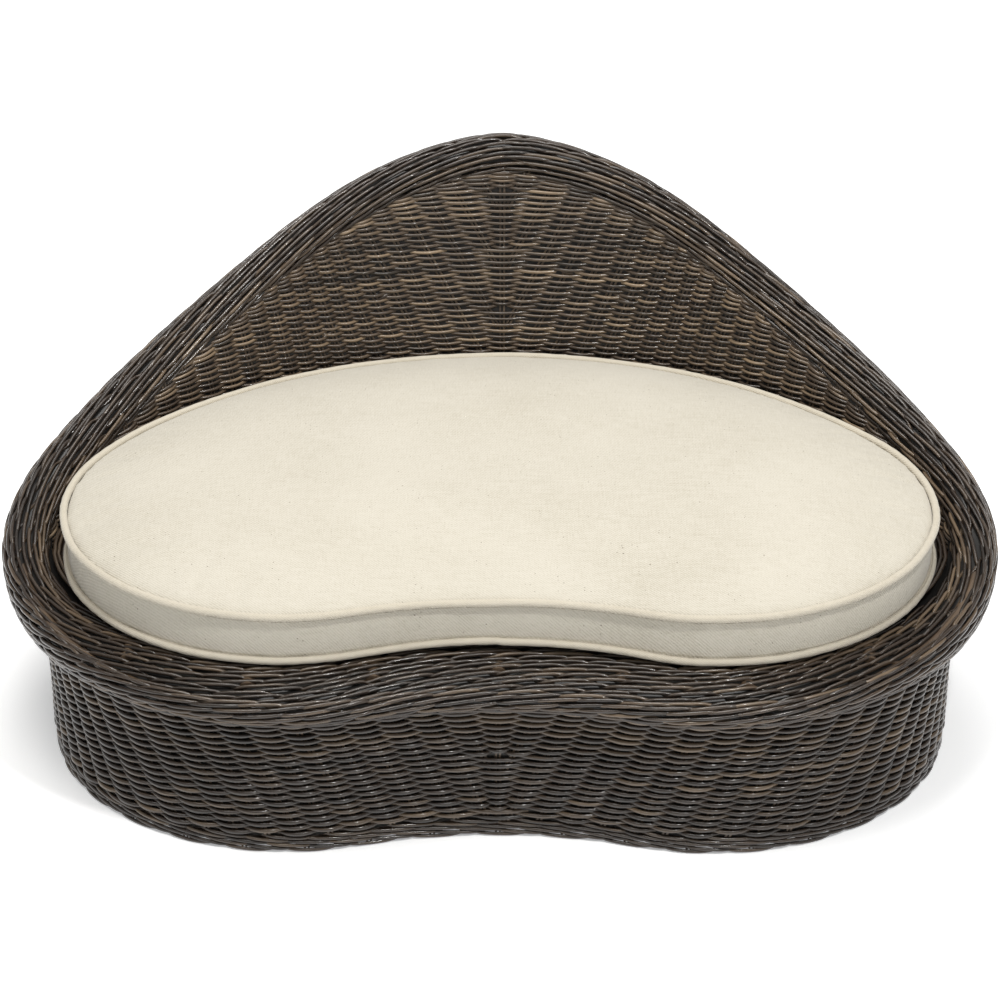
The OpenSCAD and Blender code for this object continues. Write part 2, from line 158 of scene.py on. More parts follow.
class Bundle:
    """Strands that become one mesh, with a tone and a grain at each point.

    The grain is the distance along the strand, the turn round it and a number for the strand."""

    def __init__(self, sides=6):
        self.sides, self.count, self.rows = sides, 0, 0
        self.points, self.quads, self.tones, self.grain, self.maps = [], [], [], [], []

    def add(self, line, across, radius, tone, closed=False, flat=1.0):
        """line and across are rows of points and sideways directions. flat squeezes along across."""
        n, m = len(line), self.sides
        tangent = np.roll(line, -1, 0) - np.roll(line, 1, 0) if closed else np.gradient(line, axis=0)
        tangent /= np.linalg.norm(tangent, axis=1, keepdims=True)
        first = across - (across * tangent).sum(1, keepdims=True) * tangent
        first /= np.linalg.norm(first, axis=1, keepdims=True)
        second = np.cross(tangent, first)
        radius = np.broadcast_to(radius, n)[:, None, None]
        turn = np.arange(m) * TAU / m + TAU / m / 2
        ring = first[:, None] * np.cos(turn)[None, :, None] * flat
        ring = ring + second[:, None] * np.sin(turn)[None, :, None]
        step = np.linalg.norm(np.diff(line, axis=0), axis=1)
        along = np.concatenate([[0], np.cumsum(step)])
        k = np.arange(n if closed else n - 1)[:, None]
        j = np.arange(m)[None, :]
        after, beside = (k + 1) % n, (j + 1) % m
        quads = columns(k * m + j, k * m + beside, after * m + beside, after * m + j)
        ends = along[-1] + (np.linalg.norm(line[0] - line[-1]) if closed else 0)
        far = np.append(along, ends)
        u0, u1 = far[k], far[k + 1]
        v0, v1 = j / m, (j + 1) / m
        corners = [(u0, v0), (u0, v1), (u1, v1), (u1, v0)]
        maps = np.stack([columns(u, v) for u, v in corners], 2)
        self.points.append((line[:, None] + radius * ring).reshape(-1, 3))
        self.quads.append(quads.reshape(-1, 4) + self.count)
        self.maps.append((maps.reshape(-1, 4, 2), self.rows))
        if not closed:
            for base, order in ((0, -1), ((n - 1) * m, 1)):
                fans = np.array([[0, i, i + 1, i + 2] for i in range(1, m - 2, 2)])[:, ::order]
                self.quads.append(fans + base + self.count)
                edge = 0.0 if base == 0 else far[n - 1]
                self.maps.append((columns(edge, fans / m), self.rows))
        self.tones.append(np.repeat(np.broadcast_to(tone, n), m))
        strand = self.rows * GRAIN_STEP
        self.grain.append(columns(np.repeat(along, m), np.tile(turn * GRAIN_ROUND, n), strand))
        self.count += n * m
        self.rows += 1

    def mesh(self, name, material):
        """The strands as one object. Each strand has its own row of the UV map."""
        quads = np.concatenate(self.quads)
        length = max(float(m[..., 0].max()) for m, _ in self.maps)
        maps = []
        for m, row in self.maps:
            maps.append(columns(m[..., 0] / length, (row + 0.1 + 0.8 * m[..., 1]) / self.rows))
        data = bpy.data.meshes.new(name)
        data.vertices.add(self.count)
        data.vertices.foreach_set("co", (np.concatenate(self.points) * MM).ravel())
        data.loops.add(quads.size)
        data.loops.foreach_set("vertex_index", quads.ravel())
        data.polygons.add(len(quads))
        data.polygons.foreach_set("loop_start", np.arange(0, quads.size, 4))
        data.update(calc_edges=True)
        data.attributes.new("tone", "FLOAT", "POINT").data.foreach_set("value", np.concatenate(self.tones))
        grain = data.attributes.new("grain", "FLOAT_VECTOR", "POINT")
        grain.data.foreach_set("vector", np.concatenate(self.grain).ravel())
        layer = data.uv_layers.new(name="OFBake")
        layer.uv.foreach_set("vector", np.concatenate(maps).ravel())
        data.shade_smooth()
        data.materials.append(material)
        return put(name, data)


# --- Materials ---
class Nodes:
    """A material with one Principled shader and short calls that add nodes to it."""

    def __init__(self, name, **sockets):
        self.material = bpy.data.materials.new(name)
        self.material.use_nodes = True
        self.tree = self.material.node_tree
        self.shader = self.tree.nodes["Principled BSDF"]
        for key, value in sockets.items():
            self.shader.inputs[key.replace("_", " ")].default_value = value

    def add(self, kind, inputs=(), **values):
        node = self.tree.nodes.new(kind)
        for key, value in values.items():
            setattr(node, key, value)
        for key, value in dict(inputs).items():
            if isinstance(value, bpy.types.NodeSocket):
                self.tree.links.new(value, node.inputs[key])
            else:
                node.inputs[key].default_value = value
        return node

    def math(self, operation, a, b):
        return self.add("ShaderNodeMath", {0: a, 1: b}, operation=operation).outputs[0]

    def blend(self, first, *others):
        """The sum of pairs of (value, weight)."""
        total = self.math("MULTIPLY", *first)
        for pair in others:
            total = self.math("ADD", total, self.math("MULTIPLY", *pair))
        return total

    def noise(self, vector, scale, detail=2.0):
        inputs = {"Vector": vector, "Scale": scale, "Detail": detail}
        return self.add("ShaderNodeTexNoise", inputs).outputs["Fac"]

    def streaks(self, vector, scale, detail=2.0):
        """Noise with its own scale in each direction."""
        moved = self.add("ShaderNodeMapping", {"Vector": vector, "Scale": scale})
        return self.noise(moved.outputs["Vector"], 1.0, detail)

    def ramp(self, factor, stops):
        node = self.add("ShaderNodeValToRGB", {"Fac": factor})
        elements = node.color_ramp.elements
        while len(elements) < len(stops):
            elements.new(0.5)
        for element, (at, colour) in zip(elements, stops):
            element.position, element.color = at, (*colour, 1.0)
        return node.outputs["Color"]

    def bump(self, height, strength, distance, normal=None):
        """distance is in metres. A normal given is bumped further."""
        inputs = {"Height": height, "Strength": strength, "Distance": distance}
        if normal is not None:
            inputs["Normal"] = normal
        return self.add("ShaderNodeBump", inputs).outputs["Normal"]

    def use(self, **outputs):
        """Joins node outputs to the shader's sockets and gives the material."""
        for key, value in outputs.items():
            self.tree.links.new(value, self.shader.inputs[key.replace("_", " ")])
        return self.material


def reed(name, dark, middle, light, rough):
    """Stained round reed: streaks along the strand, patches of worn stain and a fine fibre bump."""
    made = Nodes(name, IOR=1.47, Coat_Weight=0.5, Coat_Roughness=0.12)
    tone = made.add("ShaderNodeAttribute", attribute_name="tone").outputs["Fac"]
    grain = made.add("ShaderNodeAttribute", attribute_name="grain").outputs["Vector"]
    streak = made.streaks(grain, (0.035, 1.6, 1.0), 3.0)
    patch = made.streaks(grain, (0.011, 0.15, 1.0))
    fibre = made.streaks(grain, (0.12, 6.0, 1.0))
    mixed = tone
    for part, weight in ((streak, 0.8), (patch, 0.75)):
        mixed = made.math("ADD", mixed, made.math("MULTIPLY", made.math("SUBTRACT", part, 0.5), weight))
    colour = made.ramp(mixed, [(0.12, dark), (0.5, middle), (0.84, light)])
    shine = made.math("ADD", made.math("MULTIPLY", streak, 0.28), rough - 0.14)
    return made.use(Base_Color=colour, Roughness=shine, Normal=made.bump(fibre, 0.35, 0.0004))


def rattan(name, across):
    """Stained rattan pole: grain, blotches and dark joints. across is the grain's scale on X, Y and Z."""
    made = Nodes(name, Roughness=0.5, IOR=1.48, Coat_Weight=0.15, Coat_Roughness=0.35)
    here = made.add("ShaderNodeTexCoord").outputs["Object"]
    grain = made.streaks(here, across, 4.0)
    blotch = made.noise(here, 9.0, 3.0)
    joint = made.ramp(made.noise(here, 38.0, 1.0), [(0.66, (0, 0, 0)), (0.7, (1, 1, 1))])
    mixed = made.blend((grain, 0.7), (blotch, 0.4))
    mixed = made.math("SUBTRACT", mixed, made.math("MULTIPLY", joint, 0.15))
    colour = made.ramp(mixed, [(0.35, (0.035, 0.022, 0.014)), (0.75, (0.13, 0.085, 0.05))])
    return made.use(Base_Color=colour, Normal=made.bump(grain, 0.4, 0.0008))


def twill(name, light, shade, pitch, flecks=True):
    """Woven thread: diagonal ribs pitch millimetres apart, slubs, soft clouds and small dark flecks."""
    made = Nodes(name, Roughness=0.92, IOR=1.4, Sheen_Weight=0.25, Sheen_Roughness=0.5)
    here = made.add("ShaderNodeTexCoord").outputs["Object"]
    rib = made.add("ShaderNodeTexWave", {"Vector": here, "Scale": TAU / 10 / (pitch * MM * math.sqrt(2)),
                                         "Distortion": 1.6, "Detail": 2.0, "Detail Scale": 2.0},
                   bands_direction="DIAGONAL").outputs["Fac"]
    slub = made.streaks(here, (60, 900, 400))
    weft = made.streaks(here, (900, 60, 400))
    cloud = made.noise(here, 7.0, 3.0)
    mixed = made.blend((rib, 0.22), (slub, 0.34), (weft, 0.26), (cloud, 0.34))
    colour = made.ramp(mixed, [(0.3, shade), (0.66, light)])
    if flecks:
        cells = made.add("ShaderNodeTexVoronoi", {"Vector": here, "Scale": 210.0})
        size = made.math("MULTIPLY", made.noise(here, 31.0, 1.0), 0.27)
        spot = made.math("LESS_THAN", cells.outputs["Distance"], made.math("SUBTRACT", size, 0.057))
        pick = made.add("ShaderNodeSeparateColor", {"Color": cells.outputs["Color"]}).outputs[0]
        spot = made.math("MULTIPLY", spot, made.math("GREATER_THAN", pick, 0.6))
        inputs = {"Factor": made.math("MULTIPLY", spot, 0.75), 6: colour, 7: (0.24, 0.2, 0.16, 1)}
        mix = made.add("ShaderNodeMix", inputs, data_type="RGBA", blend_type="MULTIPLY")
        colour = mix.outputs[2]
    soft = made.bump(cloud, 0.25, 0.002)
    threads = made.bump(made.math("ADD", rib, made.math("ADD", slub, weft)), 0.4, 0.0005, soft)
    return made.use(Base_Color=colour, Normal=threads)


WALL_REED = reed("wall_reed", (0.0105, 0.0068, 0.0045), (0.031, 0.0202, 0.0135), (0.13, 0.091, 0.056), 0.29)
# A lighter copy of the wall reed for the back pieces: painted light, standing in for the stronger light on
# the back's inside.
LIT_BACK_REED = reed("back_reed_painted_light", (0.02, 0.0135, 0.0086), (0.077, 0.053, 0.035), (0.29, 0.21, 0.132), 0.31)
STAKE_REED = reed("stake_reed", (0.03, 0.021, 0.014), (0.085, 0.06, 0.041), (0.2, 0.145, 0.095), 0.5)
RIM_REED = reed("rim_reed", (0.011, 0.007, 0.0046), (0.037, 0.0242, 0.0162), (0.15, 0.105, 0.065), 0.29)
# Near-black: painted shade for the gaps between strands, put on the skins behind the weave.
SHADE_SHEET = reed("painted_shade_sheet", (0.003, 0.0025, 0.002), (0.006, 0.0045, 0.0035), (0.012, 0.009, 0.007), 0.8)
DECK_REED = reed("deck_reed", (0.03, 0.022, 0.017), (0.07, 0.052, 0.038), (0.17, 0.13, 0.085), 0.5)
POLE = rattan("rattan_pole", (30, 30, 60))
BEARER = rattan("rattan_bearer", (260, 14, 260))
POST = rattan("rattan_post", (260, 260, 14))
COVER = twill("cotton_twill", (0.605, 0.572, 0.495), (0.435, 0.4, 0.318), 2.3)
PIPING = twill("piping_twill", (0.585, 0.54, 0.45), (0.43, 0.385, 0.3), 1.8, False)
TAPE = twill("zip_tape_weave", (0.76, 0.7, 0.58), (0.6, 0.55, 0.44), 0.8, False)


def metal(name, colour, rough):
    """Plain metal with an uneven polish."""
    made = Nodes(name, Metallic=1.0, Base_Color=(*colour, 1))
    worn = made.noise(made.add("ShaderNodeTexCoord").outputs["Object"], 900.0, 3.0)
    return made.use(Roughness=made.math("ADD", made.math("MULTIPLY", worn, 0.2), rough))


STEEL = metal("zinc_steel", (0.55, 0.55, 0.57), 0.28)
DARK_STEEL = metal("blackened_steel", (0.05, 0.045, 0.04), 0.45)
NICKEL = metal("nickel", (0.62, 0.6, 0.56), 0.2)
COIL = twill("nylon_coil", (0.76, 0.72, 0.62), (0.66, 0.61, 0.5), 0.5, False)

# --- Woven wall ---
LOW_PITCH, HIGH_PITCH = 3.2, 2.9  # height of a row below the front rim and above it
LOW_LEVELS = np.arange(0, FRONT_H, LOW_PITCH)
LEVELS = np.concatenate([LOW_LEVELS, np.arange(FRONT_H + 1, BACK_H + RIM_R, HIGH_PITCH)])
STAKE_STEP = 28.19
FOOT_STAKES = 39  # stakes of one half at the floor
ROW_R, ROW_R_HIGH = 1.82, 1.72  # radius of the weavers in the low rows and in the high ones
ROW_SWELL = 0.3  # how much thicker a low weaver looks where it passes in front of a stake
ROW_SWING = 3.15  # how far a weaver's middle swings to either side of the stakes
ROW_STEPS = 8  # points on a weaver from one stake to the next
BEND = 9.0  # how softly the rows turn under the rim
TUCK = 13.0  # height over which a row's end runs into the rim
UPPER_FROM, UPPER_OVER = 130, 50  # where the low rows' look turns into the high rows' look
UPPER_WEAVE = 235  # height at which the back's weave is parted into two pieces
STAKE_R, STAKE_APART = 1.35, 1.75  # radius of a stake, and its distance from its pair's middle


def stake_lean(s):
    """Sideways travel of a stake along the outline for each millimetre up, on the right half."""
    front = 1 - ease((HALF - s - 330) / 290)
    return 0.5 * np.exp(-((s / 185) ** 2)) - 0.5 * front


def trace_stakes():
    """The stakes of the right half at each row: a list of (z, places, numbers).

    New ones start at the middle of the back and of the front, where the others lean away."""
    number = np.arange(1, FOOT_STAKES + 1)
    s = number * STAKE_STEP
    rows = []
    for z, step in zip(LEVELS, np.diff(LEVELS, append=LEVELS[-1] + HIGH_PITCH)):
        rows.append((z, s, number))
        s = s + stake_lean(s) * step
        if s[0] > 1.5 * STAKE_STEP:
            s, number = np.append(s[0] - STAKE_STEP, s), np.append(number[0] - 1, number)
        if s[-1] < HALF - 1.5 * STAKE_STEP:
            s, number = np.append(s, s[-1] + STAKE_STEP), np.append(number, number[-1] + 1)
    return rows


STAKE_ROWS = trace_stakes()


def row_knots(row):
    """Places and numbers of the stakes all the way round one row, from the front round the back."""
    _, s, number = STAKE_ROWS[row]
    right = np.concatenate([[0], s, [HALF]])
    count = np.concatenate([[number[0] - 1], number, [number[-1] + 1]])
    return np.concatenate([-right[::-1], right[1:]]), np.concatenate([count[::-1], count[1:]])


def wall_top(s):
    """Height at which the rows turn down under the rim."""
    return rim_shape(s)[1] - 3


def row_height(z, s):
    """Height of a row near s: flat, then turning down where it comes up to the rim."""
    return z - BEND * np.log1p(np.exp(np.clip((z - wall_top(s)) / BEND, -40, 40)))


def weave_row(row):
    """One weaver's s, line, radius and tone, and where it shows below the rim. None above the rim."""
    z = STAKE_ROWS[row][0]
    at, count = row_knots(row)
    fine = np.linspace(0, len(at) - 1, (len(at) - 1) * ROW_STEPS + 1)
    s = np.interp(fine, np.arange(len(at)), at)
    phase = np.interp(fine, np.arange(len(at)), count)
    upper = float(ease((z - UPPER_FROM) / UPPER_OVER))
    shown = z < wall_top(s) + TUCK
    if not shown.any():
        return None
    swing = np.cos(math.pi * (phase + row))
    outer, inner = np.abs(swing) ** (0.8 + 0.6 * upper), -np.abs(swing) ** (1.2 - 0.3 * upper)
    swing = np.where(swing > 0, outer, inner)
    drift, size = noise_line(90, 0.22), noise_line(260, 0.05)
    shade, own = noise_line(140, 0.13), RNG.normal(0.47, 0.09)
    over = np.clip(z - wall_top(s), 0, TUCK)
    height = row_height(z, s) + drift(s)
    depth = flare(height) - WALL_T / 2 + swing * ROW_SWING + over * 0.6
    radius = (ROW_R + (ROW_R_HIGH - ROW_R) * upper) * (1 + size(s))
    radius *= 1 + ROW_SWELL * (1 - upper) * np.maximum(swing, 0)
    return s, place(s, depth, height), radius, own + shade(s), shown


def weave_wall():
    """The weavers, in four bundles: low at the front, low at the sides and back, and two above those."""
    names = ("front_weave", "side_weave", "back_weave_low", "back_weave_high")
    bundles = {name: Bundle() for name in names}
    first = int(np.searchsorted(LEVELS, FOOT_H + 1))
    for row in range(first, len(STAKE_ROWS)):
        made = weave_row(row)
        if made is None:
            break
        z = STAKE_ROWS[row][0]
        s, line, radius, tone, shown = made
        across = outward(s)
        if z < FRONT_H - 4 and shown.all():
            low, high = np.searchsorted(s, [-BACK_LEN - 60, BACK_LEN + 60])
            front = np.concatenate([np.arange(high, len(s)), np.arange(1, low + 1)])
            parts = {"front_weave": front, "side_weave": np.arange(low, high + 1)}
        else:
            name = "back_weave_low" if z < UPPER_WEAVE else "back_weave_high"
            inside = np.flatnonzero(shown)
            parts = {name: np.arange(inside[0], inside[-1] + 1)}
        for name, part in parts.items():
            bundles[name].add(line[part], across[part], radius[part], tone[part])
    for name, bundle in bundles.items():
        # The back pieces take the lighter reed: painted light.
        piece = bundle.mesh(name, LIT_BACK_REED if "back" in name else WALL_REED)
        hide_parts("wall_weave_outer", "wall_weave_inner")
        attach(piece, "basket")


def stand_stakes():
    """The stakes: pairs of thin reeds between the weavers. One that starts high is grown down."""
    bundle = Bundle()
    lines = {}
    for z, places, numbers in STAKE_ROWS:
        for s, number in zip(places, numbers):
            lines.setdefault(int(number), []).append((s, z))
        lines.setdefault("back", []).append((0.0, z))
        lines.setdefault("front", []).append((HALF, z))
    for number, points in lines.items():
        points = np.array(points)
        start = points[0]
        lean = float(stake_lean(start[0]))
        if start[1] > 1 and abs(lean) > 0.05:
            run = min(start[0], HALF - start[0]) - 3
            back = np.arange(3, max(run / abs(lean), 3), 3.0)[::-1]
            grown = columns(start[0] - lean * back, start[1] - back)
            points = np.concatenate([grown[grown[:, 1] > 2], points])
        s, z = points[:, 0], points[:, 1]
        keep = (z > 1) & (z < rim_z(s) + 4)
        s, z = s[keep][::2], z[keep][::2]
        if len(s) < 3:
            continue
        for side in (1,) if number in ("back", "front") else (1, -1):
            for offset in (-STAKE_APART, STAKE_APART):
                line = place(side * s + offset, flare(z) - WALL_T / 2, z)
                bundle.add(line, outward(side * s), STAKE_R, RNG.normal(0.5, 0.08))
    piece = bundle.mesh("stake_reeds", STAKE_REED)
    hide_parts("stakes")
    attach(piece, "basket")


# --- Wales: strands outside the stakes that dip in between them ---
WALE_TURNS = 40  # periods of two stakes round the whole outline
WALE_STEPS = 14  # points on a strand in one period
WALE_COUNT = WALE_TURNS * WALE_STEPS


def wale_wave(phase):
    """How far inside (0 to 1) and how far along its sideways slant (-0.5 to 0.5) a strand is.

    It slants slowly while it is seen and goes back quickly while it is inside."""
    turn = phase % 1.0
    inside = np.exp(-(((turn - 0.5) / 0.17) ** 2))
    travel, edge = (turn + 0.5) % 1.0, 0.1
    late = np.where(travel > 1 - edge, 0.5 * (1 - travel) / edge, (travel - 0.5) / (1 - 2 * edge))
    return inside, np.where(travel < edge, -0.5 * travel / edge, late)


def around(s, *pairs):
    """A value at s from pairs of (distance from the middle of the back, value), smoothly joined up."""
    a = from_back(s)
    at, value = np.array(pairs, float).T
    spread = (-45, -30, -15, 0, 15, 30, 45)
    return sum(np.interp(np.abs(a + d), at, value) for d in spread) / len(spread)


def rim_shape(s):
    """Middle (d, z) and radius of the rolled rim, slim at the front and full at the back."""
    top = rim_z(s)
    radius = around(s, (0, 24.5), (400, 24), (520, 22), (600, 18), (720, 14), (HALF, 14))
    reach = around(s, (0, 40), (400, 40), (520, 36), (580, 31), (640, 22), (700, 17), (780, 16), (HALF, 16))
    full = 7 * np.exp(-(((from_back(s) - 130) / 90) ** 2))
    return flare(top) + reach - radius, top + full, radius


def skirt_drop(s):
    """How far the rim's hem lies below its middle."""
    return around(s, (0, 96), (560, 96), (660, 50), (760, 25), (860, 20), (HALF, 18))


def frontness(s):
    """0 where the rim is rolled all round, 1 where it comes over a shoulder from the deck."""
    return ease((from_back(s) - 500) / 320)


PROFILE_POINTS = 90
SHOULDER_SHARE = 0.7  # part of the upper profile that the shoulder takes at the front
ARC_SHARE = 0.3  # part that the arc beyond it takes
ROLL_TURN = math.radians(208)  # turn of the roll from its inner edge to its outermost point
ARC_TURN = math.radians(60)  # turn of the same roll beyond the shoulder
SKIRT_RISE = 0.62  # power by which the skirt comes in to the wall
SHOULDER = [(-46, 173.9), (-26, 174.3), (-14, 173.4), (-5, 171.0), (2, 168.2), (9, 165.0)]


def rim_profile(s):
    """Points (d, z) of the rim's outer surface at each s, from inside over the crest to the hem.

    At the front the surface starts on the deck and comes over a shoulder."""
    s = np.asarray(s, float)
    middle, top, radius = (v[:, None] for v in rim_shape(s))
    part = np.linspace(0, 1, PROFILE_POINTS // 2)
    turn = ROLL_TURN * (1 - part)
    roll_d, roll_z = middle + radius * np.cos(turn), top + radius * np.sin(turn)
    turn = ARC_TURN * np.clip(1 - (part - SHOULDER_SHARE) / ARC_SHARE, 0, 1)
    arc_d, arc_z = middle + radius * np.cos(turn), top + radius * np.sin(turn)
    at = np.linspace(0, SHOULDER_SHARE, len(SHOULDER) + 1)
    d, z = np.array(SHOULDER).T
    lead = part < SHOULDER_SHARE
    blend = np.clip((part - at[-2]) / (at[-1] - at[-2]), 0, 1)
    front_d, front_z = (np.where(lead, np.interp(part, at[:-1], slope) * (1 - blend) + arc * blend, arc)
                        for slope, arc in ((d, arc_d), (z, arc_z)))
    weight = frontness(s)[:, None]
    upper_d, upper_z = roll_d + weight * (front_d - roll_d), roll_z + weight * (front_z - roll_z)
    t = np.linspace(1, 0, PROFILE_POINTS // 2)[1:]
    z = top - skirt_drop(s)[:, None] * (1 - t)
    low, high = flare(z) + 1.5, middle + radius
    skirt_d = low + (high - low) * ease(t**SKIRT_RISE)
    return np.concatenate([upper_d, skirt_d], 1), np.concatenate([upper_z, z], 1)


def follow_profile(s, share=None, run=None):
    """The point at a share (0 to 1) or a run (mm) of the rim profile's length at each s.

    Also gives the profile's outward normal and its whole length."""
    d, z = rim_profile(s)
    step = np.hypot(np.diff(d, axis=1), np.diff(z, axis=1))
    length = np.concatenate([np.zeros((len(s), 1)), np.cumsum(step, 1)], 1)
    want = share * length[:, -1] if run is None else run
    want = np.clip(want, 0, length[:, -1])
    at = (length < want[:, None]).sum(1).clip(1, d.shape[1] - 1)
    row = np.arange(len(s))
    part = (want - length[row, at - 1]) / (length[row, at] - length[row, at - 1])
    run_d, run_z = d[row, at] - d[row, at - 1], z[row, at] - z[row, at - 1]
    here = d[row, at - 1] + part * run_d, z[row, at - 1] + part * run_z
    size = np.hypot(run_d, run_z)
    return *here, -run_z / size, run_d / size, length[:, -1]


RIM_PITCH = 3.9
RIM_STRAND_R = 1.8
RIM_DIP = 4.2  # how far a strand dips in between two turns
RIM_SLANT = 1.4  # how many pitches a strand slants in one turn
HEM_TUCK = 5.0  # how far a strand's end is pushed in at the hem
POLE_R = 7.0


def roll_rim():
    """The long strands that wrap the rim and its skirt. Where the skirt narrows they end at its hem."""
    bundles = [Bundle(), Bundle()]
    s = round_places(WALE_COUNT)
    most = follow_profile(s, share=np.ones(WALE_COUNT))[4].max()
    strands = int(most / RIM_PITCH)
    _, _, nx, ny = outline(s)
    for j in range(strands):
        jitter, shade = noise_line(120, 0.05), noise_line(110, 0.12)
        wander, size = noise_line(160, 0.2), noise_line(300, 0.05)
        phase = WALE_TURNS * (s + HALF) / (2 * HALF) + j / 3 + jitter(s)
        inside, slant = wale_wave(phase)
        run = (j + 0.7 + RIM_SLANT * slant + wander(s)) * RIM_PITCH
        d, z, out_d, out_z, length = follow_profile(s, run=run)
        ending = np.clip((run - length + 3) / 3, 0, 1)
        depth = RIM_STRAND_R + RIM_DIP * inside * (1 - ending) + HEM_TUCK * ending
        line = place(s, d - out_d * depth, z - out_z * depth)
        across = columns(nx * out_d, ny * out_d, out_z)
        tone = RNG.normal(0.48, 0.09) + shade(s)
        radius = RIM_STRAND_R * (1 + size(s))
        bundle = bundles[j >= strands // 2]
        shown = np.flatnonzero((j + 0.7) * RIM_PITCH < length + 1.5)
        if len(shown) == WALE_COUNT:
            bundle.add(line, across, radius, tone, closed=True)
            continue
        for part in np.split(shown, np.flatnonzero(np.diff(shown) > 1) + 1):
            if len(part) > 3:
                bundle.add(line[part], across[part], radius[part], tone[part])
    for name, bundle in zip(("rim_strands_inner", "rim_strands_outer"), bundles):
        piece = bundle.mesh(name, RIM_REED)
        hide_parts("rim_border")
        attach(piece, "basket")


def bend_pole():
    """The pole inside the rim."""
    bundle = Bundle(12)
    s = round_places(300)
    middle, top, _ = rim_shape(s)
    bundle.add(place(s, middle, top), outward(s), POLE_R, 0.5, closed=True)
    piece = bundle.mesh("rim_core_pole", POLE)
    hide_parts("rim_pole")
    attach(piece, "basket")


def skin(name, rings, node):
    """A closed, near-black skin through rings of points that run all round the basket: painted shade behind
    the strands.
    """
    points = np.stack(rings, 1)
    count, m = points.shape[:2]
    k, j = np.arange(count)[:, None], np.arange(m)[None, :]
    after, beside = (k + 1) % count, (j + 1) % m
    quads = columns(k * m + j, after * m + j, after * m + beside, k * m + beside)
    bundle = Bundle()
    bundle.points, bundle.quads = [points.reshape(-1, 3)], [quads.reshape(-1, 4)]
    bundle.count, bundle.rows = count * m, 1
    far, near = columns(k / count, j / m), columns((k + 1) / count, j / m)
    step = np.array([0, 1 / m])
    bundle.maps = [(np.stack([far, near, near + step, far + step], 2).reshape(-1, 4, 2), 0)]
    bundle.tones = [np.full(count * m, 0.4)]
    bundle.grain = [columns(k * 9.4, j * 4.0, 0.0).reshape(-1, 3)]
    piece = bundle.mesh(name, SHADE_SHEET)
    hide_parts(node)
    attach(piece, "basket")


def shade_under_rim():
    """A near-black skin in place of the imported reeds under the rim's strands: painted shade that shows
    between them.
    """
    depth, thick = 5.6, 1.2
    s = round_places(240)
    shares = np.linspace(0, 0.97, 26)
    rings = []
    d, z, *_ = follow_profile(s, share=0.0)
    lips = [place(s, d - 1 - 20 * frontness(s), z - 3.4 - drop) for drop in (0, thick)]
    for inset, order in ((depth, shares), (depth + thick, shares[::-1])):
        for share in order:
            d, z, out_d, out_z, _ = follow_profile(s, share=share)
            rings.append(place(s, d - out_d * inset, z - out_z * inset))
    skin("rim_painted_shade", [lips[0], *rings, lips[1]], "rim_border")


def shade_in_wall():
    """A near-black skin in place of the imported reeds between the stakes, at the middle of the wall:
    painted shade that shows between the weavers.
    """
    thick = 0.7
    s = round_places(240)
    shares = np.linspace(0, 1, 22)
    rings = []
    for side, order in ((1, shares[::-1]), (-1, shares)):
        for share in order:
            z = FOOT_H + (rim_z(s) - FOOT_H) * share
            rings.append(place(s, flare(z) - WALL_T / 2 + side * thick / 2, z))
    skin("wall_painted_shade", rings, "wall_weave_inner")


FOOT_STRANDS = 6


def plait_foot():
    """The wale at the floor."""
    bundle = Bundle()
    radius, pitch = 1.75, (FOOT_H - 0.4) / FOOT_STRANDS
    s = round_places(WALE_COUNT)
    for j in range(FOOT_STRANDS):
        shade = noise_line(120, 0.12)
        inside, slant = wale_wave(WALE_TURNS * (s + HALF) / (2 * HALF) + j / 3)
        low = radius + 0.15
        z = np.maximum(low + (j + 1.1 * slant) * pitch, low)
        line = place(s, -radius - 0.1 - (WALL_T - 2 * radius) * inside, z)
        bundle.add(line, outward(s), radius, RNG.normal(0.45, 0.08) + shade(s), closed=True)
    piece = bundle.mesh("foot_wale", WALL_REED)
    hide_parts("foot_border")
    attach(piece, "basket")


# --- Deck ---
BORDER_STRANDS = 11
BORDER_PITCH, BORDER_R = 4.1, 1.9
DECK_INSET = 44.0  # from the outline to the cane's ends
DECK_LEVEL = DECK_Z - DECK_T / 2 - 0.6
DECK_PITCH = 7.2  # from one cane to the next
DECK_STAKE = 27.0  # from one pair under the cane to the next
DECK_PAIRS = 15  # pairs on either side of the middle, at most
PAIR_APART = 2.6  # from a pair's middle to either cane of it


def inner_edge(s, z):
    """How far out the basket's inside reaches at height z."""
    up = z - rim_z(s)
    roll = flare(rim_z(s)) + RIM_OUT - np.sqrt(np.maximum(RIM_R**2 - up * up, 0))
    return np.where(up > -4.5, roll, flare(z) - WALL_T)


def edge_y(x, front, inset):
    """y of the outline, drawn in by inset, at x, at the front or the back."""
    a, side = np.abs(x), -1 if front else 1
    lobe = side * np.sqrt(np.maximum((LOBE_R - inset) ** 2 - (a - LOBE_X) ** 2, 0))
    middle, turn = (NOTCH_CY, NOTCH_A) if front else (BACK_CY, BACK_A)
    radius = NOTCH_R + inset if front else BACK_R - inset
    arc = middle + np.sqrt(np.maximum(radius**2 - x * x, 0))
    return LOBE_Y + np.where(a <= radius * math.sin(turn), arc, lobe)


def coil_border():
    """Strands that coil round the deck, from the wall or the front shoulder inwards."""
    border = Bundle()
    s = round_places(320)
    weight = frontness(s)
    edge = inner_edge(s, DECK_Z - 3) * (1 - weight) - DECK_INSET * weight - 1.2
    level = DECK_Z - BORDER_R - 0.05
    for j in range(BORDER_STRANDS):
        shade = noise_line(120, 0.12)
        wave = 0.25 * np.sin(s / 9 + j * 2)
        line = place(s, edge - BORDER_R - j * BORDER_PITCH + wave, level)
        border.add(line, UP, BORDER_R, RNG.normal(0.45, 0.08) + shade(s), closed=True)
    return border


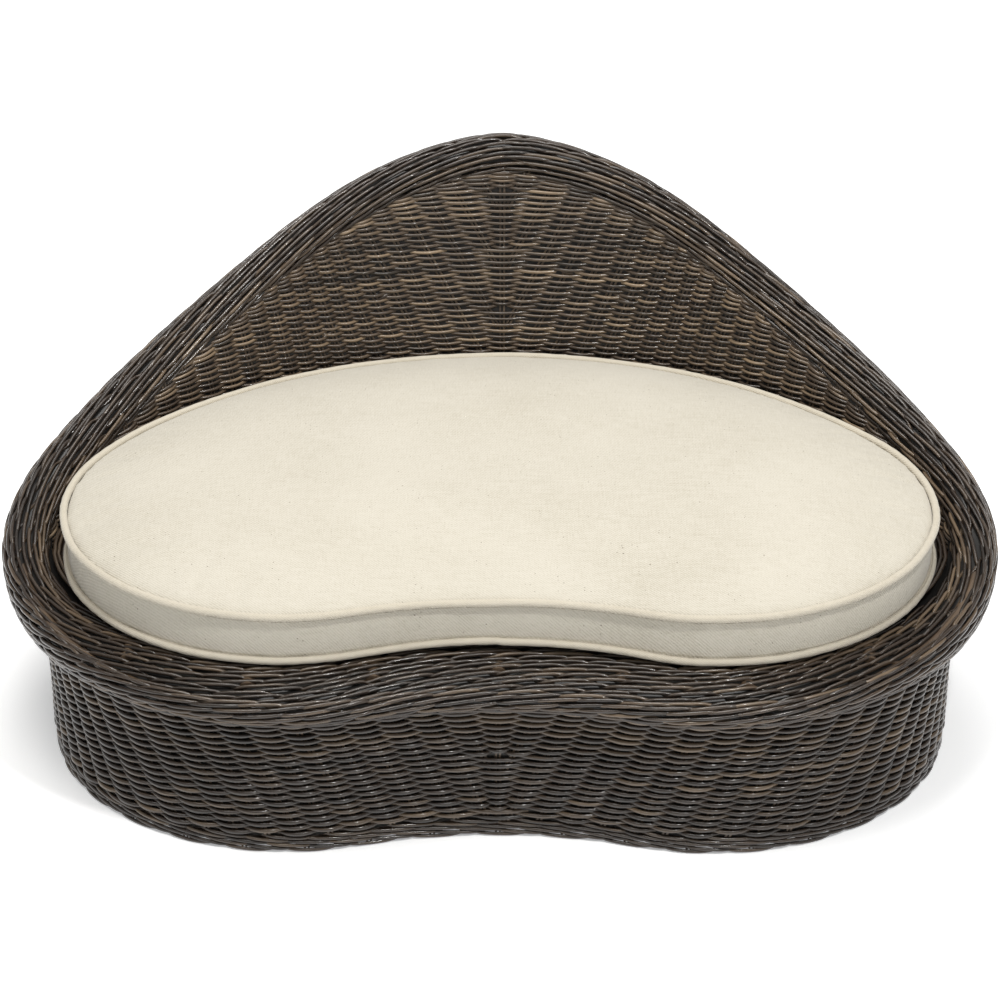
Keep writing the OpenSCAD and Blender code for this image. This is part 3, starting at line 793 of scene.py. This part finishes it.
def weave_cane():
    """Flat canes across the deck, over and under pairs of canes that run front to back."""
    cane = Bundle()
    reach = LOBE_X + LOBE_R - DECK_INSET
    ys = np.arange(float(edge_y(0, True, 0)) - 60, float(edge_y(0, False, 0)), DECK_PITCH)
    for row, y in enumerate(ys):
        x = np.arange(-reach, reach + 1, DECK_STAKE / 6)
        inside = np.flatnonzero((y > edge_y(x, True, DECK_INSET)) & (y < edge_y(x, False, DECK_INSET)))
        for run in np.split(inside, np.flatnonzero(np.diff(inside) > 1) + 1):
            if len(run) < 8:
                continue
            bob = 0.9 * np.cos(math.pi * (x[run] / DECK_STAKE + row))
            line = columns(x[run], y, DECK_LEVEL + bob)
            cane.add(line, UP, 3.75, RNG.normal(0.5, 0.1), flat=0.36)
    for i in range(-DECK_PAIRS, DECK_PAIRS + 1):
        if abs(i * DECK_STAKE) > reach:
            continue
        for offset in (-PAIR_APART, PAIR_APART):
            x = i * DECK_STAKE + offset
            low, high = (float(edge_y(np.float64(x), front, DECK_INSET)) for front in (True, False))
            y = np.arange(low, high, 9.0)
            line = columns(x, y, DECK_LEVEL)
            cane.add(line, UP, 2.2, RNG.normal(0.45, 0.08), flat=0.4)
    return cane


def weave_deck():
    """The deck's two pieces."""
    for piece in (coil_border().mesh("deck_border", RIM_REED), weave_cane().mesh("deck_cane", DECK_REED)):
        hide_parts("deck_weave")
        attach(piece, "basket")


# --- Cushion ---
COVER_D = -CUSHION_GAP - 10.0  # the cover's side
PIPE_D = -CUSHION_GAP - 8.0  # the piping's middle
PIPE_LOOK_R = 3.5
LOW_PIPE, HIGH_PIPE = CUSHION_Z + PIPING_R, CUSHION_Z + CUSHION_H - PIPING_R
ZIP_Z = CUSHION_Z + CUSHION_H / 2
ZIP_S = BACK_R * math.radians(ZIP_HALF)
NOTCH_LIFT = 5.0  # how far the lower piping rides up over the notch
COVER_VOXEL = 0.0062  # metres, as is the cap
COVER_CAP = 0.010  # how far a point of the cover may move as it fills
FILL_FRAMES = 20


def low_pipe_z(s):
    """Height of the lower piping, which rides up round the notch and waves a little."""
    lift = NOTCH_LIFT * np.exp(-(((HALF - from_back(s)) / 130) ** 2))
    return LOW_PIPE + lift + 0.7 * np.sin(s / 31.0) * np.cos(s / 83.0)


def high_pipe_z(s):
    """Height of the upper piping, with a slight wave."""
    return HIGH_PIPE + 0.5 * np.sin(s / 47.0 + 1) * np.cos(s / 120.0)


def rise(a):
    """Height of the top above its seam, a millimetres in from it: steep at the edge, then nearly flat."""
    return 0.75 * CROWN * (1 - math.exp(-a / 22)) + 0.3 * CROWN * (1 - math.exp(-a / 90))


def cover_form():
    """The cushion's form before it is filled, as a closed mesh object."""
    count = 200
    s = round_places(count)
    low, high = low_pipe_z(s), high_pipe_z(s)
    under, crown = CUSHION_Z + 0.6, (0, 6, 13, 22, 34, 50, 75, 110, 150, 180)
    rings = [(COVER_D - 60, under), (COVER_D - 8, under), (COVER_D - 2.5, CUSHION_Z + 1.4)]
    rings += [(COVER_D - 0.8, low), (COVER_D, low + 8), (COVER_D, high - 8), (COVER_D - 0.8, high)]
    rings += [(COVER_D - 2.5 - a, HIGH_PIPE + 1.6 + rise(a)) for a in crown]
    made = bmesh.new()
    loops = []
    for d, z in rings:
        loops.append([made.verts.new(p) for p in place(s, d, z, CUSHION_BACK) * MM])
    for lower, upper in zip(loops, loops[1:]):
        for i in range(count):
            k = (i + 1) % count
            made.faces.new((lower[i], upper[i], upper[k], lower[k]))
    made.faces.new(loops[0])
    made.faces.new(loops[-1][::-1])
    bmesh.ops.recalc_face_normals(made, faces=made.faces)
    data = bpy.data.meshes.new("cushion_cover")
    made.to_mesh(data)
    made.free()
    return put("cushion_cover", data)


def apply_modifiers(piece):
    """Puts what the modifiers make of the piece into its mesh."""
    evaluated = piece.evaluated_get(bpy.context.evaluated_depsgraph_get())
    data = bpy.data.meshes.new_from_object(evaluated)
    piece.modifiers.clear()
    old, piece.data = piece.data, data
    bpy.data.meshes.remove(old)


def nearest_s(points):
    """s of the outline point nearest each point, and how far outside the outline that point is."""
    grid = np.linspace(-HALF, HALF, 900, endpoint=False)
    x, y, nx, ny = outline(grid)
    best, off = np.empty(len(points)), np.empty(len(points))
    for low in range(0, len(points), 4000):
        chunk = slice(low, low + 4000)
        part = points[chunk]
        dx, dy = part[:, 0, None] - x, part[:, 1, None] - y
        at = (dx * dx + dy * dy).argmin(1)
        row = np.arange(len(part))
        best[chunk] = grid[at]
        off[chunk] = dx[row, at] * nx[at] + dy[row, at] * ny[at]
    return best, off


def coords(data):
    """A mesh's points as rows."""
    flat = np.empty(len(data.vertices) * 3)
    data.vertices.foreach_get("co", flat)
    return flat.reshape(-1, 3)


def seam_pins(start):
    """How firmly each point of the form is held: at the seams, the underside and the zip."""
    at = start / MM - [0, CUSHION_BACK, 0]
    s, off = nearest_s(at)
    z = at[:, 2]
    beyond = ((off - COVER_D) / 7) ** 2
    low, high = (np.exp(-(beyond + ((z - seam(s)) / 6) ** 2)) for seam in (low_pipe_z, high_pipe_z))
    under = (z < CUSHION_Z + 2).astype(float)
    beside = (np.abs(s) < ZIP_S + 8) & (np.abs(z - ZIP_Z) < ZIP_W / 2 + 4)
    zipped = (beside & (off > COVER_D - 6)).astype(float)
    return np.clip(low * 1.4 + high * 1.4 + under + zipped, 0, 1)


def inflate(piece):
    """Lets cloth pressure push the form out between its pins, no further than the cap."""
    start = coords(piece.data)
    pin = np.round(seam_pins(start), 1)
    group = piece.vertex_groups.new(name="seams")
    for value in np.unique(pin):
        if value > 0:
            group.add(np.flatnonzero(pin == value).tolist(), float(value), "REPLACE")
    cloth = piece.modifiers.new("cloth", "CLOTH")
    setting = cloth.settings
    setting.quality, setting.mass = 4, 0.25
    setting.tension_stiffness = setting.compression_stiffness = 12
    setting.shear_stiffness, setting.bending_stiffness = 4, 0.6
    setting.use_pressure, setting.uniform_pressure_force = True, 4.0
    setting.vertex_group_mass = "seams"
    setting.effector_weights.gravity = 0
    cloth.point_cache.frame_start, cloth.point_cache.frame_end = 1, FILL_FRAMES
    for number in range(1, FILL_FRAMES + 1):
        bpy.context.scene.frame_set(number)
    apply_modifiers(piece)
    bpy.context.scene.frame_set(1)
    move = coords(piece.data) - start
    far = np.linalg.norm(move, axis=1, keepdims=True)
    move *= np.minimum(1, COVER_CAP / np.maximum(far, 1e-9))
    piece.data.vertices.foreach_set("co", (start + move).ravel())


def fill_cushion():
    """The cover: the form remeshed, filled, creased and smoothed."""
    piece = cover_form()
    remesh = piece.modifiers.new("remesh", "REMESH")
    remesh.mode, remesh.voxel_size = "VOXEL", COVER_VOXEL
    apply_modifiers(piece)
    inflate(piece)
    shape_cover(piece)
    smooth = piece.modifiers.new("smooth", "SUBSURF")
    smooth.levels = smooth.render_levels = 1
    apply_modifiers(piece)
    piece.data.shade_smooth()
    piece.data.materials.clear()
    piece.data.materials.append(COVER)
    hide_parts("top_panel", "bottom_panel", "boxing_band", "zip_placket", "foam_core")
    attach(piece, "cushion")


def shape_cover(piece):
    """Puckers on the side, creases beside the upper seam, broad waves and one folded corner on the top."""
    data = piece.data
    at = coords(data) / MM - [0, CUSHION_BACK, 0]
    s, off = nearest_s(at)
    z = at[:, 2]
    inward = COVER_D - off
    side = np.exp(-((inward / 6) ** 2))
    ripple = np.sin(s / 5.2 + 2 * np.sin(s / 37)) * np.clip(np.sin(s / 61 + 0.7) + 0.35, 0, 1)
    height = np.clip((z - LOW_PIPE) / (HIGH_PIPE - LOW_PIPE), 0, 1)
    pucker = 0.55 * ripple * side * np.sin(math.pi * height)
    on_top = np.clip((z - HIGH_PIPE - 1) / 4, 0, 1)
    edge = np.exp(-((inward - 12) / 14) ** 2)
    crease = 0.35 * np.sin(s / 4.1 + np.sin(s / 23) * 3) * edge * on_top
    broad = 0.8 * np.sin(at[:, 0] / 71 + 1.3) * np.sin(at[:, 1] / 59 + 0.4)
    broad = broad * np.clip(inward / 60, 0, 1) * on_top
    corner = np.exp(-(((s + 700) / 150) ** 2)) * np.exp(-((inward - 35) / 30) ** 2) * on_top
    fold = 1.1 * corner * np.sin((s + inward * 0.9) / 12)
    at += outward(s) * pucker[:, None]
    at[:, 2] += crease + broad + fold
    data.vertices.foreach_set("co", ((at + [0, CUSHION_BACK, 0]) * MM).ravel())
    data.update()


def sew_piping():
    """Cloth-covered cord along both seams."""
    s = round_places(620)
    seams = (("piping_lower", low_pipe_z, 0.8, ("bottom_piping", "piping_cords")),
             ("piping_upper", high_pipe_z, 0.0, ("top_piping", "piping_cords")))
    for name, height, inward, nodes in seams:
        bundle = Bundle(12)
        wave = 0.35 * np.sin(s / 17 + 0.5) * np.cos(s / 71) - inward
        radius = PIPE_LOOK_R * (1 + 0.035 * np.sin(s / 3.1) * np.sin(s / 41))
        z = height(s)
        line = place(s, PIPE_D + wave, np.maximum(z, CUSHION_Z + PIPE_LOOK_R * 1.04), CUSHION_BACK)
        bundle.add(line, outward(s), radius, 0.5, closed=True)
        piece = bundle.mesh(name, PIPING)
        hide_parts(*nodes)
        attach(piece, "cushion")


def sew_seams():
    """The row of stitches beside each piping."""
    stitches = Bundle(4)
    pitch, length = 4.2, 2.8
    bow = np.array([-0.5, 0.15, 0.15, -0.5])
    for height, up in ((low_pipe_z, 1), (high_pipe_z, -1)):
        for middle in np.arange(-HALF, HALF, pitch):
            s = middle + np.linspace(-length / 2, length / 2, 4)
            z = height(s) + up * (PIPING_R + 1.6)
            stitches.add(place(s, COVER_D + 1.6 + bow, z, CUSHION_BACK), outward(s), 0.28, 0.5)
    piece = stitches.mesh("seam_stitches", PIPING)
    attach(piece, "cushion")


COIL_PITCH = 1.9
SLIDER_LONG, SLIDER_WIDE, SLIDER_THICK = 6.4, 4.4, 3.2  # half length, half width, thickness
SLIDER_SIDE = [(-1.0, 0.55), (-0.55, 1.0), (0.35, 1.0), (0.8, 0.72), (1.0, 0.3)]
SLIDER_PLAN = SLIDER_SIDE + [(a, -b) for a, b in SLIDER_SIDE[::-1]]


def sew_tape():
    """The zip's two tapes."""
    tape = Bundle(4)
    s = np.linspace(-ZIP_S, ZIP_S, 140)
    for z in (ZIP_Z - ZIP_W / 4 - 0.6, ZIP_Z + ZIP_W / 4 + 0.6):
        line = place(s, COVER_D + 1.2, z, CUSHION_BACK)
        tape.add(line, UP, 0.8, 0.5, flat=4.6)
    piece = tape.mesh("zip_tape_pair", TAPE)
    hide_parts("zip_tape")
    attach(piece, "cushion")


def wind_coil():
    """The nylon coil between the tapes."""
    coil = Bundle(4)
    turns = int(2 * ZIP_S / COIL_PITCH)
    t = np.arange(turns * 6 + 1) / 6
    s = -ZIP_S + 2 * ZIP_S * t / turns
    angle = TAU * t
    line = place(s, COVER_D + 2.0 + 0.7 * np.cos(angle), ZIP_Z + 1.7 * np.sin(angle), CUSHION_BACK)
    coil.add(line, outward(s), 0.45, 0.5)
    piece = coil.mesh("zip_coil", COIL)
    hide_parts("zip_tape")
    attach(piece, "cushion")


def slider_form():
    """The slider's bevelled body at the origin, as a mesh: X outwards, Y along the zip, Z up, in mm."""
    made = bmesh.new()
    lower = [made.verts.new((0, a * SLIDER_LONG, b * SLIDER_WIDE)) for a, b in SLIDER_PLAN]
    top_long, top_wide = SLIDER_LONG * 0.86, SLIDER_WIDE * 0.8
    upper = [made.verts.new((SLIDER_THICK, a * top_long, b * top_wide)) for a, b in SLIDER_PLAN]
    count = len(SLIDER_PLAN)
    made.faces.new(lower[::-1])
    made.faces.new(upper)
    for i in range(count):
        made.faces.new((lower[i], lower[(i + 1) % count], upper[(i + 1) % count], upper[i]))
    bmesh.ops.recalc_face_normals(made, faces=made.faces)
    bmesh.ops.bevel(made, geom=made.edges[:], offset=0.45, segments=2, affect="EDGES")
    data = bpy.data.meshes.new("zip_slider_body")
    made.to_mesh(data)
    made.free()
    return data


def set_slider():
    """The slider, placed on the zip where the CAD one is."""
    data = slider_form()
    low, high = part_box("zip_slider")
    middle = (low + high) / 2
    centre = LOBE_Y + BACK_CY + CUSHION_BACK
    turn = math.atan2(middle.y - centre * MM, middle.x)
    out = np.array([math.cos(turn), math.sin(turn), 0])
    along = np.array([-math.sin(turn), math.cos(turn), 0])
    origin = np.array([0, centre, ZIP_Z]) + out * (BACK_R + COVER_D + 2.0)
    points = coords(data)
    turned = origin + points[:, :1] * out + points[:, 1:2] * along + points[:, 2:] * UP
    data.vertices.foreach_set("co", (turned * MM).ravel())
    data.shade_smooth()
    data.materials.append(NICKEL)
    slider = put("zip_slider_body", data)
    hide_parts("zip_slider")
    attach(slider, "slider")


# --- Finish on the kept frame ---
def paint_frame():
    """Puts the finishes on the CAD nodes that stay in sight."""
    finish = {"base_hoop": POLE, "deck_hoop": POLE, "posts": POST, "bearers": BEARER,
              "frame_screws": STEEL, "bearer_nails": DARK_STEEL}
    for name, material in finish.items():
        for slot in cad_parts[name].material_slots:
            slot.material = material


# --- Studio ---
FLOOR_HALF = 9.0
FLOOR_GLOW = 0.32
WORLD_STRENGTH = 0.39


def area_light(name, place_at, target, size, power, colour):
    """A round soft light aimed at target."""
    data = bpy.data.lights.new(name, "AREA")
    data.shape, data.size, data.energy, data.color = "DISK", size, power, colour
    light = put(name, data)
    light.location = place_at
    aim = Vector(np.array(target) - np.array(place_at))
    light.rotation_mode = "QUATERNION"
    light.rotation_quaternion = aim.to_track_quat("-Z", "Y")


def build_studio():
    """A pale floor, an even world and three lights."""
    data = bpy.data.meshes.new("floor")
    signs = ((-1, -1), (1, -1), (1, 1), (-1, 1))
    data.from_pydata([(FLOOR_HALF * a, FLOOR_HALF * b, 0) for a, b in signs], [], [(0, 1, 2, 3)])
    floor = put("floor", data)
    paper = Nodes("floor_paper", Roughness=0.95, Base_Color=(0.93, 0.935, 0.945, 1), Specular_IOR_Level=0.1,
                  Emission_Color=(0.96, 0.98, 1.0, 1), Emission_Strength=FLOOR_GLOW)
    data.materials.append(paper.material)
    world = bpy.data.worlds.new("studio")
    bpy.context.scene.world = world
    world.use_nodes = True
    background = world.node_tree.nodes["Background"]
    background.inputs["Color"].default_value = (1.0, 0.985, 0.955, 1)
    background.inputs["Strength"].default_value = WORLD_STRENGTH
    area_light("key", (-0.6, -0.75, 3.6), (0, 0, 0.15), 1.4, 58, (1.0, 0.98, 0.945))
    area_light("top", (0.2, 0.9, 3.4), (0, 0, 0.1), 1.8, 40, (1.0, 0.985, 0.96))
    area_light("spark", (0.9, -1.5, 2.9), (0, 0, 0.15), 0.3, 42, (1.0, 0.99, 0.97))
    bpy.context.scene.view_settings.view_transform = "Standard"


CAMERA_TARGET = Vector((0.0, -0.0206, 0.200))
CAMERA_ELEVATION, CAMERA_AZIMUTH, CAMERA_DISTANCE = math.radians(28), math.radians(0.4), 3.2


def set_camera():
    """The camera, nearly straight in front and looking down."""
    data = bpy.data.cameras.new("camera")
    data.sensor_width, data.lens = 36.0, 124.0
    camera = put("camera", data)
    level, height = math.cos(CAMERA_ELEVATION), math.sin(CAMERA_ELEVATION)
    direction = Vector((level * math.sin(CAMERA_AZIMUTH), -level * math.cos(CAMERA_AZIMUTH), height))
    offset = direction * CAMERA_DISTANCE
    camera.location = CAMERA_TARGET + offset
    camera.rotation_mode = "QUATERNION"
    camera.rotation_quaternion = (-offset).to_track_quat("-Z", "Y")
    bpy.context.scene.camera = camera


set_camera()
build_studio()
weave_wall()
stand_stakes()
roll_rim()
bend_pole()
shade_under_rim()
shade_in_wall()
plait_foot()
weave_deck()
fill_cushion()
sew_piping()
sew_seams()
sew_tape()
wind_coil()
set_slider()
paint_frame()
